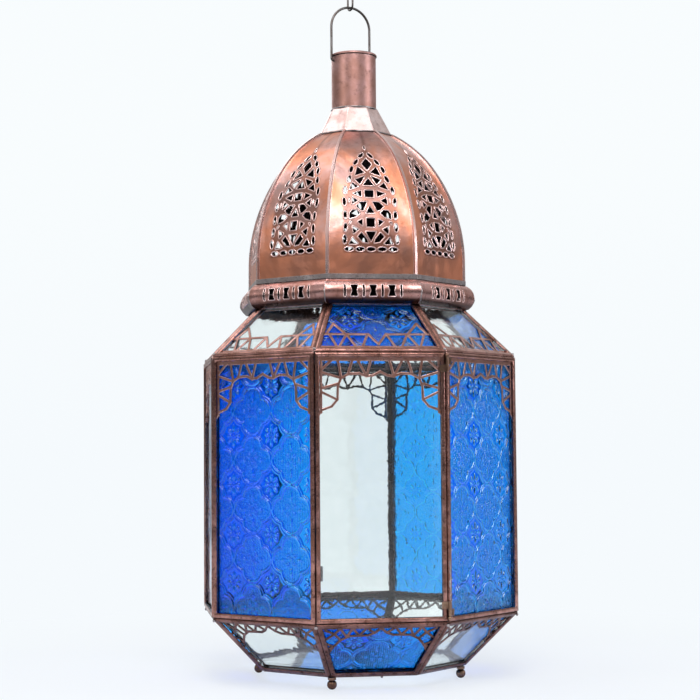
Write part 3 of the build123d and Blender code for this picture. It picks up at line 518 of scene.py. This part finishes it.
glassLooks = {
    "clearGlass": {
        "thin": (0.93, 0.965, 0.96, 1), "thick": (0.84, 0.90, 0.89, 1), "shadow": (0.92, 0.95, 0.95, 1),
        "gleam": 0.5, "rough": 0.012, "waves": 0.00035, "waveScale": 26.0, "pebble": 0.0,
    },
    "blueGlass": {
        "thin": (0.004, 0.45, 1.0, 1), "thick": (0.0, 0.16, 0.95, 1), "shadow": (0.15, 0.40, 0.95, 1),
        # pale is the colour of the painted highlight on the crests
        "pale": (0.20, 0.76, 1.0, 1),
        "gleam": 0.12, "rough": 0.05, "waves": 0.00030, "waveScale": 60.0, "pebble": 0.00016,
    },
}
# waves and streaks in both glasses, and the ribbed and grained inside of the pressed quatrefoils
glassGrain = {
    "streakScale": 4, "streakHeight": 0.12, "streakTone": (0.30, 0.72, 0.0, 0.35), "pressedTone": 0.6,
    "ribScale": 155.0, "ribBend": 1.6, "grainScale": 820.0, "grainHeight": 0.8, "ior": 1.5,
}


def makeGlass(name):
    # plain transmission, and a clear way through for the rays that reach for the lamps
    look = glassLooks[name]
    material, tree, output = newTree(name)
    coords = tree.nodes.new("ShaderNodeTexCoord")
    waves = noiseAt(tree, coords.outputs["Object"], look["waveScale"], 2.0, 0.4)
    streakScale = look["waveScale"] * glassGrain["streakScale"]
    streaks = noiseAt(tree, coords.outputs["Object"], streakScale, 3.0, 0.6)
    height = scaledSum(tree, waves.outputs["Fac"], streaks.outputs["Fac"], glassGrain["streakHeight"])
    normal = addNode(tree, "ShaderNodeBump", {
        "Strength": 1.0, "Distance": look["waves"], "Height": height}).outputs[0]
    tone = mapRange(tree, streaks.outputs["Fac"], *glassGrain["streakTone"])
    if look["pebble"]:
        # the relief attribute holds painted shade, not height: a deeper blue on steep flanks and across some
        # panes
        relief = addNode(tree, "ShaderNodeAttribute", attribute_name="relief")
        pebbled = addNode(tree, "ShaderNodeAttribute", attribute_name="pebbled")
        ribs = addNode(tree, "ShaderNodeTexWave", {
            "Vector": coords.outputs["UV"], "Scale": glassGrain["ribScale"],
            "Distortion": glassGrain["ribBend"], "Detail": 2.0, "Detail Scale": 1.5,
        }, wave_type="BANDS", bands_direction="X")
        grains = addNode(tree, "ShaderNodeTexVoronoi", {
            "Vector": coords.outputs["UV"], "Scale": glassGrain["grainScale"]})
        stipple = scaledSum(
            tree, ribs.outputs["Fac"], grains.outputs["Distance"], glassGrain["grainHeight"])
        stipple = maths(tree, "MULTIPLY", stipple, pebbled.outputs["Fac"])
        normal = addNode(tree, "ShaderNodeBump", {
            "Strength": 1.0, "Distance": look["pebble"], "Height": stipple, "Normal": normal}).outputs[0]
        tone = maths(tree, "MULTIPLY", tone, glassGrain["pressedTone"])
        tone = maths(tree, "ADD", tone, relief.outputs["Fac"], True)
    colour = mixColour(tree, tone, look["thin"], look["thick"])
    if look["pebble"]:
        # painted highlight: the crests are mixed towards the pale blue
        crestHighlight = addNode(tree, "ShaderNodeAttribute", attribute_name="crestHighlight")
        colour = mixColour(tree, crestHighlight.outputs["Fac"], colour, look["pale"])
    glass = addNode(tree, "ShaderNodeBsdfPrincipled", {
        "Base Color": colour, "Metallic": 0.0, "Roughness": look["rough"], "IOR": glassGrain["ior"],
        "Specular IOR Level": look["gleam"], "Transmission Weight": 1.0, "Normal": normal})
    clearWay = addNode(tree, "ShaderNodeBsdfTransparent", {"Color": look["shadow"]})
    path = tree.nodes.new("ShaderNodeLightPath")
    mixed = addNode(tree, "ShaderNodeMixShader", {
        0: path.outputs["Is Shadow Ray"], 1: glass.outputs[0], 2: clearWay.outputs[0]})
    tree.links.new(mixed.outputs[0], output.inputs["Surface"])
    return material


glassMaterials = {name: makeGlass(name) for name in glassLooks}

finishes = {
    "domeCopper": [f"dome_gore_{i}" for i in range(8)],
    "collarCopper": ["collar"],
    "neckCopper": ["neck_tube"],
    "ringCopper": ["ring_seat", "ring_segments"],
    "ribCopper": ["dome_ribs"],
    "channelCopper": ["roof_frames", "door_frame"] + [f"wall_frame_{i}" for i in range(1, 8)],
    "umberChannel": ["floor_frame", "lower_frames", "lower_fretwork"],
    "fretCopper": ["wall_fretwork", "door_fretwork", "roof_fretwork"],
    "greySolder": ["dome_band", "door_stops"],
    "agedBrass": ["door_knuckles", "frame_knuckles", "hinge_pins", "candle_cup"]
    + [f"ball_foot_{i}" for i in range(1, 5)],
    "darkWire": ["bail", "hanging_link"],
    "clearGlass": ["floor_glass", "lower_glass_clear", "roof_glass_clear", "door_glass",
                   "wall_glass_2", "wall_glass_4", "wall_glass_6"],
}


def dress():
    for name, dressed in finishes.items():
        material = metalMaterials.get(name) or glassMaterials[name]
        for node in dressed:
            mesh = nodes[node].data
            mesh.materials.clear()
            mesh.materials.append(material)


dress()
print("materials on the CAD nodes")


pressed = {
    "pitch": 47.0 * mm,
    "cell": 0.62 * mm,
    "outline": 0.80 * mm,
    "echo": 0.50 * mm,
    "petal": 0.70 * mm,
    "dot": 0.60 * mm,
    "sink": 0.90 * mm,  # the flat field lies this far behind the pane's face
    "border": 2.4 * mm,  # the relief fades out over this width round a pane
    # shares of the pitch from here on
    "lobe": 0.24, "lobeReach": 0.235, "line": 0.020, "echoGap": 0.054, "echoLine": 0.014,
    "insideGap": 0.03, "insideFade": 0.008, "groundGap": 0.02, "groundFade": 0.006,
    "spearWidth": 0.026, "spearLevel": 0.26, "spearHalf": 0.10, "spearLeast": 0.004,
    "dots": [  # share of the dot's height, across, up, radius of the ring, width of its line
        (1.0, 0.21, 0.0, 0.0, 0.028),
        (0.6, 0.29, 0.0, 0.0, 0.015),
        (0.7, 0.0, 0.0, 0.04, 0.010),
        (0.7, 0.085, 0.085, 0.034, 0.010),
    ],
    # outer end and width of the petals, in turn
    "petals": [(0.17, 0.030), (0.20, 0.032), (0.22, 0.030), (0.20, 0.032)],
    "petalFoot": 0.065, "petalSwell": 0.45, "petalCount": 8,
    "heart": (0.7, 0.032, 0.010),  # share of the dot's height, radius, width
}


def bump1d(distance, width):
    return np.exp(-(distance / width) ** 2)


def softStep(distance, width):
    # 1 where the distance is negative, 0 where it is positive
    return 1 / (1 + np.exp(np.clip(distance / width, -60, 60)))


def dropShape(x, y, angle, inner, outer, width):
    # a petal between two distances from the middle: 1 on its crest, 0 at its rim
    along = x * math.cos(angle) + y * math.sin(angle)
    across = -x * math.sin(angle) + y * math.cos(angle)
    middle, half = (inner + outer) / 2, (outer - inner) / 2
    swell = width * (1 + pressed["petalSwell"] * (along - middle) / half)
    reach = ((along - middle) / half) ** 2 + (across / np.maximum(swell, 1e-4)) ** 2
    return np.sqrt(np.clip(1 - reach, 0, 1))


def pressedPattern(x, y):
    # height of the pressed pattern in metres, and a mask of the pebbled inside of the quatrefoils
    u = np.mod(x / pressed["pitch"] + 0.5, 1) - 0.5
    v = np.mod(y / pressed["pitch"] + 0.5, 1) - 0.5
    reach = pressed["lobeReach"]
    away = np.minimum.reduce([np.hypot(u - a, v - b) - pressed["lobe"] for a, b in (
        (reach, 0), (-reach, 0), (0, reach), (0, -reach))])
    height = pressed["outline"] * bump1d(away, pressed["line"])
    height += pressed["echo"] * bump1d(away - pressed["echoGap"], pressed["echoLine"])
    inside = softStep(away + pressed["insideGap"], pressed["insideFade"])
    au, av = np.abs(u), np.abs(v)
    least = pressed["spearLeast"]
    along = (av - pressed["spearLevel"]) / pressed["spearHalf"]
    spear = pressed["spearWidth"] * np.clip(1 - along ** 2, 0, 1)
    height += pressed["dot"] * inside * bump1d(au, np.maximum(spear, least)) * (spear > least)
    for share, across, up, radius, width in pressed["dots"]:
        height += share * pressed["dot"] * bump1d(np.hypot(au - across, av - up) - radius, width)
    p, q = np.mod(u + 1, 1) - 0.5, np.mod(v + 1, 1) - 0.5
    petals = np.zeros_like(u)
    for turn in range(pressed["petalCount"]):
        angle = turn * math.tau / pressed["petalCount"]
        outer, width = pressed["petals"][turn % len(pressed["petals"])]
        petals = np.maximum(petals, dropShape(p, q, angle, pressed["petalFoot"], outer, width))
    ground = softStep(pressed["groundGap"] - away, pressed["groundFade"])
    height += pressed["petal"] * petals * ground
    share, radius, width = pressed["heart"]
    height += share * pressed["dot"] * bump1d(np.hypot(p, q) - radius, width)
    return height, inside


# flat and level of each course's foot, then of its head
courseEnds = {
    "lower": ("floorFlat", "floor", "wallFlat", "shoulder"),
    "wall": ("wallFlat", "shoulder", "wallFlat", "eaves"),
    "roof": ("wallFlat", "eaves", "roofFlat", "roofTop"),
}
# how slope, crests and depth turn into the blue's tone and paleness: steep flanks and the deep side are
# painted shade, crests are painted highlight
paneTint = {
    "steep": 0.8, "deepest": 0.95, "crestPower": 1.3, "insidePale": 0.16, "depthLoss": 1.3, "mostLoss": 0.8,
}


def coursePlace(kind, side):
    # carries (x along, y up the face, z out of it) on a course of side 0 to its place
    out0, up0, out1, up1 = (course[key] for key in courseEnds[kind])
    length = math.hypot(out1 - out0, up1 - up0)
    run, rise = (out1 - out0) / length, (up1 - up0) / length
    axes = Matrix(((1, 0, 0), (0, -run, -rise), (0, rise, -run))).to_4x4()
    place = Matrix.Translation((0, -out0, up0)) @ axes
    return Matrix.Rotation(sideAngle * side, 4, "Z") @ place, out0, out1, length


def pressedPane(name, kind, side, offset, depth):
    # one pane, with its relief on the front face and flat walls and back
    place, out0, out1, length = coursePlace(kind, side)
    inset = channel["paneInset"]
    lean = (out1 - out0) * sideShare / length
    sideInset = inset * math.sqrt(1 + lean * lean)
    height = length - 2 * inset
    width = 2 * (max(out0, out1) * sideShare - sideInset)
    bm = bmesh.new()
    uvLayer = bm.loops.layers.uv.new("pressedMap")
    across, upward = int(width / pressed["cell"]), int(height / pressed["cell"])
    bmesh.ops.create_grid(bm, x_segments=across, y_segments=upward, size=0.5)
    rim = [edge for edge in bm.edges if edge.is_boundary]
    spots = np.array([vert.co[:] for vert in bm.verts])
    y = inset + (spots[:, 1] + 0.5) * height
    half = out0 * sideShare + lean * y - sideInset
    x = spots[:, 0] * 2 * half
    relief, inside = pressedPattern(x - offset[0], y - offset[1])
    edgeGap = np.minimum(np.minimum(half - np.abs(x), y - inset), length - inset - y)
    step = pressed["cell"]
    ahead = pressedPattern(x - offset[0] + step, y - offset[1])[0]
    above = pressedPattern(x - offset[0], y - offset[1] + step)[0]
    slope = np.hypot(ahead - relief, above - relief) / step
    # painted shade: steep flanks of the relief, and one side of some panes, are painted a deeper blue
    shadeAcross = depth[0] + (depth[1] - depth[0]) * (spots[:, 0] + 0.5)
    shade = np.clip(slope / paneTint["steep"], 0, paneTint["deepest"]) + shadeAcross
    # painted highlight: crests of the relief are painted paler; the inside of the quatrefoils is a little
    # paler too, less where the pane is painted deeper
    paleness = np.clip(relief / pressed["outline"], 0, 1) ** paneTint["crestPower"]
    paleness = paleness + paneTint["insidePale"] * inside
    loss = np.clip(paneTint["depthLoss"] * shadeAcross, 0, paneTint["mostLoss"])
    paleness = np.clip(paleness * (1 - loss), 0, 1)
    relief = relief * np.clip(edgeGap / pressed["border"], 0, 1)
    front = -channel["paneFace"] - pressed["sink"]
    paintedShadeLayer = bm.verts.layers.float.new("relief")
    ground = bm.verts.layers.float.new("pebbled")
    crestHighlight = bm.verts.layers.float.new("crestHighlight")
    for index, vert in enumerate(bm.verts):
        vert.co = (x[index], y[index], front + relief[index])
        vert[paintedShadeLayer] = float(min(1.0, max(0.0, shade[index])))
        vert[ground] = float(inside[index])
        vert[crestHighlight] = float(paleness[index])
    for face in bm.faces:
        face.smooth = True
        for loop in face.loops:
            loop[uvLayer].uv = loop.vert.co.xy
    walls = bmesh.ops.extrude_edge_only(bm, edges=rim)["geom"]
    flat = [item for item in walls if isinstance(item, bmesh.types.BMFace)]
    lower = [item for item in walls if isinstance(item, bmesh.types.BMVert)]
    back = -channel["paneFace"] - channel["paneThick"]
    for vert in lower:
        vert.co.z = back
        vert[paintedShadeLayer] = depth[0]
        vert[ground] = 0.0
        vert[crestHighlight] = 0.0
    backRim = [edge for edge in bm.edges if edge.is_boundary]
    made = bmesh.ops.contextual_create(bm, geom=backRim)
    flat += bmesh.ops.poke(bm, faces=made["faces"])["faces"]
    for face in flat:
        face.smooth = False
    bmesh.ops.recalc_face_normals(bm, faces=bm.faces)
    bm.transform(place)
    mesh = bpy.data.meshes.new(name)
    bm.to_mesh(mesh)
    bm.free()
    mesh.materials.append(glassMaterials["blueGlass"])
    return mesh


def keep(mesh, name, body, replaced=()):
    piece = bpy.data.objects.new(name, mesh)
    scene.collection.objects.link(piece)
    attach(piece, body)
    if replaced:
        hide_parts(*replaced)


# middle of one quatrefoil on each wall pane: metres right of the middle, up from the foot
paneOffsets = {
    1: (-33.6 * mm, 152.0 * mm), 3: (6.0 * mm, 140.0 * mm),
    5: (-12.0 * mm, 160.0 * mm), 7: (32.4 * mm, 152.8 * mm),
}
# the same for the blue panes of the roof and the lower course
courseOffsets = {
    0: (0.0, 24.0 * mm), 2: (11.0 * mm, 20.0 * mm),
    4: (-8.0 * mm, 30.0 * mm), 6: (17.0 * mm, 12.0 * mm),
}
# painted shade: how deep the blue is painted at a pane's left and right edges
paneShadeAcross = {1: (0.15, 0.30), 3: (0.1, 0.1), 5: (0.1, 0.1), 7: (0.62, 0.06)}
# painted shade: the roof and lower panes are painted evenly deeper
courseShadeDepth = {"roof": (0.5, 0.5), "lower": (0.42, 0.42)}


def joined(meshes, name):
    bm = bmesh.new()
    for mesh in meshes:
        bm.from_mesh(mesh)
    result = bpy.data.meshes.new(name)
    bm.to_mesh(result)
    bm.free()
    result.materials.append(glassMaterials["blueGlass"])
    return result


def glazeBlue():
    for side, offset in paneOffsets.items():
        mesh = pressedPane(f"bluePane{side}", "wall", side, offset, paneShadeAcross[side])
        keep(mesh, f"bluePane{side}", "lantern", [f"wall_glass_{side}"])
    for kind in ("roof", "lower"):
        panes = [pressedPane(f"{kind}Pane{side}", kind, side, offset, courseShadeDepth[kind])
                 for side, offset in courseOffsets.items()]
        name = f"{kind}BluePanes"
        keep(joined(panes, name), name, "lantern", [f"{kind}_glass_blue"])


solder = {"flat": 0.62, "ripple": 0.5 * mm, "grain": 260.0, "doorCorners": (0, 7)}
# lumps at the body's corners: reach, level, size, height share, and whether the door's corners have them
lumps = [
    (course["wallCorner"] - 2.1 * mm, course["shoulder"] - 2.4 * mm, 1.9 * mm, 0.8, True),
    (course["wallCorner"] - 2.9 * mm, course["eaves"] + 2.2 * mm, 1.9 * mm, 0.7, True),
    (course["floorCorner"] - 1.7 * mm, course["floor"] + 2.6 * mm, 1.8 * mm, 0.9, True),
    (course["wallCorner"] - 2.1 * mm, course["shoulder"] + 2.6 * mm, 1.7 * mm, 1.2, False),
    (course["wallCorner"] - 2.1 * mm, course["eaves"] - 2.8 * mm, 1.7 * mm, 1.1, False),
]


def solderBlob(bm, corner, radius, level, size, tall):
    # a lump of solder run into the gap at one corner of the body
    angle = sideAngle * (corner + 0.5) - math.pi / 2
    made = bmesh.ops.create_icosphere(bm, subdivisions=2, radius=size)
    for vert in made["verts"]:
        ripple = noise.noise((vert.co + Vector((corner, level, 0))) * solder["grain"])
        vert.co += vert.normal * solder["ripple"] * ripple
        vert.co.z *= tall
    spot = Matrix.Translation((radius, 0, level)) @ Matrix.Diagonal((solder["flat"], 1, 1, 1))
    bmesh.ops.transform(bm, matrix=Matrix.Rotation(angle, 4, "Z") @ spot, verts=made["verts"])


def keepSmooth(mesh, name, material):
    # a smooth piece of the lantern in one material
    mesh.materials.clear()
    mesh.materials.append(material)
    for face in mesh.polygons:
        face.use_smooth = True
    keep(mesh, name, "lantern")


smear = {
    "count": 6, "size": 0.9 * mm, "stretch": (1.3, 4.6, 0.7), "rough": 0.25, "grain": 700.0,
    "across": -60.4 * mm, "foot": 23 * mm, "step": 6.2 * mm, "sink": 0.35 * mm,
    "sway": 0.5 * mm, "swayTurn": 2.4,
}
drop = {"size": 1.3 * mm, "across": 7.6 * mm, "inward": 2.4 * mm, "down": 0.3 * mm}


def smearSolder(bm):
    # a run of solder up the channel right of the door, and one drop under the floor frame
    place = coursePlace("wall", 1)[0]
    wide, long, thick = smear["stretch"]
    for index in range(smear["count"]):
        made = bmesh.ops.create_icosphere(bm, subdivisions=2, radius=smear["size"])
        for vert in made["verts"]:
            bump = noise.noise((vert.co + Vector((index, 0, 0))) * smear["grain"])
            stretched = Vector((vert.co.x * wide, vert.co.y * long, vert.co.z * thick))
            vert.co = stretched * (1 + smear["rough"] * bump)
        side = smear["sway"] * math.sin(smear["swayTurn"] * index)
        spot = Vector((smear["across"] + side, smear["foot"] + index * smear["step"], -smear["sink"]))
        bmesh.ops.transform(bm, matrix=place @ Matrix.Translation(spot), verts=made["verts"])
    made = bmesh.ops.create_icosphere(bm, subdivisions=2, radius=drop["size"])
    below = Vector((drop["across"], -course["floorFlat"] + drop["inward"], course["floor"] - drop["down"]))
    bmesh.ops.transform(bm, matrix=Matrix.Translation(below), verts=made["verts"])


def runSolder():
    bm = bmesh.new()
    for corner in range(sideCount):
        for reach, level, size, tall, atDoor in lumps:
            if atDoor or corner not in solder["doorCorners"]:
                solderBlob(bm, corner, reach, level, size, tall)
    smearSolder(bm)
    mesh = bpy.data.meshes.new("cornerSolder")
    bm.to_mesh(mesh)
    bm.free()
    keepSmooth(mesh, "cornerSolder", metalMaterials["greySolder"])


# rounds of solder: name, corners or points, corner radius, level, thickness
solderRounds = [
    ("neckSolder", 64, 23.2 * mm, 579.2 * mm, 0.9 * mm),
    ("collarSolder", 8, 40.0 * mm, 551.3 * mm, 0.9 * mm),
]
roundWave = {
    "cuts": 9, "swell": 0.012, "swellGrain": 240.0,
    "rise": 0.4 * mm, "riseGrain": 180.0, "shift": (3, 1, 2),
}


def roundSolder():
    # beads of solder where the neck, the collar and the dome meet
    for name, count, radius, level, thick in solderRounds:
        bm = bmesh.new()
        bmesh.ops.create_circle(bm, segments=count, radius=radius)
        if count == sideCount:
            bmesh.ops.subdivide_edges(bm, edges=bm.edges, cuts=roundWave["cuts"])
        bmesh.ops.rotate(bm, verts=bm.verts, matrix=Matrix.Rotation(sideAngle / 2, 3, "Z"))
        for vert in bm.verts:
            vert.co *= 1 + roundWave["swell"] * noise.noise(vert.co * roundWave["swellGrain"])
            rise = noise.noise(vert.co * roundWave["riseGrain"] + Vector(roundWave["shift"]))
            vert.co.z += level + roundWave["rise"] * rise
        mesh = tubeMesh(bm, name, thick, 0.0, 2)
        bm.free()
        keepSmooth(mesh, name, metalMaterials["greySolder"])


# facing: how squarely the outer face looks out from the middle; side: the outline's own margin
rims = {
    "lattice": {"radius": 0.72 * mm, "facing": 0.5, "middle": domeMiddle, "side": 3.0 * mm,
                "low": 400.5 * mm, "high": 548.0 * mm, "spacing": 0.7 * mm},
    "ring": {"radius": 0.55 * mm, "facing": 0.3, "middle": 0.381, "side": 1.6 * mm,
             "low": 371.5 * mm, "high": 391.0 * mm, "spacing": 0.7 * mm},
}
rimMargin = 0.05


def onRim(edge, look):
    # where an outer face meets the wall of a hole, away from the plate's own outline
    spot = (edge.verts[0].co + edge.verts[1].co) / 2
    turn = round((math.atan2(spot.y, spot.x) + math.pi / 2) / sideAngle)
    back = Matrix.Rotation(-turn * sideAngle, 3, "Z")
    local = back @ spot
    if abs(local.x) > -local.y * sideShare - look["side"] or not look["low"] < local.z < look["high"]:
        return False
    outward = Vector((0, local.y, local.z - look["middle"])).normalized()
    facing = sorted((back @ face.normal).dot(outward) for face in edge.link_faces)
    return len(facing) == 2 and facing[1] > look["facing"] > abs(facing[0]) + rimMargin


def tubeMesh(bm, name, radius, spacing, resolution=0):
    # a thin tube along every line of edges, with its points thinned out
    curve = bpy.data.curves.new(name, "CURVE")
    curve.dimensions = "3D"
    curve.bevel_depth = radius
    curve.bevel_resolution = resolution
    walked = set()
    for start in sorted(bm.verts, key=lambda vert: len(vert.link_edges)):
        if start in walked:
            continue
        loop = []
        ahead = [start]
        while ahead:
            loop.append(ahead[0])
            walked.add(ahead[0])
            ahead = [edge.other_vert(loop[-1]) for edge in loop[-1].link_edges]
            ahead = [vert for vert in ahead if vert not in walked]
        spots = [loop[0].co]
        for vert in loop[1:]:
            if (vert.co - spots[-1]).length > spacing:
                spots.append(vert.co)
        spline = curve.splines.new("POLY")
        spline.points.add(len(spots) - 1)
        for point, spot in zip(spline.points, spots):
            point.co = (*spot, 1)
        spline.use_cyclic_u = len(start.link_edges) > 1
    holder = bpy.data.objects.new(name, curve)
    mesh = bpy.data.meshes.new_from_object(holder)
    bpy.data.objects.remove(holder)
    bpy.data.curves.remove(curve)
    return mesh


def rimTubes(name, sources, look):
    # the burr left round every pierced hole
    bm = bmesh.new()
    for source in sources:
        bm.from_mesh(nodes[source].data)
    bmesh.ops.remove_doubles(bm, verts=bm.verts, dist=weld)
    bm.normal_update()
    others = [edge for edge in bm.edges if not onRim(edge, look)]
    bmesh.ops.delete(bm, geom=bm.faces, context="FACES_ONLY")
    bmesh.ops.delete(bm, geom=others, context="EDGES")
    loose = [vert for vert in bm.verts if not vert.link_edges]
    bmesh.ops.delete(bm, geom=loose, context="VERTS")
    mesh = tubeMesh(bm, name, look["radius"], look["spacing"])
    bm.free()
    keepSmooth(mesh, name, metalMaterials["ribCopper"])
    print(name, len(mesh.polygons), "faces")


# foot, bulge and head are corner radius and level
seams = {
    "foot": (117.3 * mm, 369.2 * mm), "bulge": (124.1 * mm, 381.0 * mm), "head": (114.2 * mm, 392.9 * mm),
    "points": 9, "thick": 0.75 * mm, "wobble": 0.5 * mm, "grain": 190.0, "inward": 0.25 * mm,
}


def ringSeams():
    # solder over the mitred joints of the ring
    bm = bmesh.new()
    verts = []
    for index in range(seams["points"]):
        share = index / (seams["points"] - 1)
        weights = (2 * (share - 0.5) * (share - 1), 4 * share * (1 - share), 2 * share * (share - 0.5))
        ends = (seams["foot"], seams["bulge"], seams["head"])
        out = sum(weight * end[0] for weight, end in zip(weights, ends)) - seams["inward"]
        up = sum(weight * end[1] for weight, end in zip(weights, ends))
        verts.append(bm.verts.new((out * math.cos(sideAngle / 2), out * math.sin(sideAngle / 2), up)))
    for here, there in zip(verts, verts[1:]):
        bm.edges.new((here, there))
    bmesh.ops.spin(bm, geom=verts + bm.edges[:], cent=(0, 0, 0), axis=(0, 0, 1), dvec=(0, 0, 0),
                   angle=math.tau, steps=sideCount, use_duplicate=True)
    bmesh.ops.remove_doubles(bm, verts=bm.verts, dist=weld)
    for vert in bm.verts:
        vert.co += seams["wobble"] * noise.noise_vector(vert.co * seams["grain"])
    mesh = tubeMesh(bm, "ringSeams", seams["thick"], 0.0, 1)
    bm.free()
    keepSmooth(mesh, "ringSeams", metalMaterials["greySolder"])


runSolder()
roundSolder()
ringSeams()
rimTubes("latticeRims", [f"dome_gore_{side}" for side in range(sideCount)], rims["lattice"])
rimTubes("ringRims", ["ring_segments"], rims["ring"])
print("solder and rims run")
glazeBlue()
print("blue panes pressed")
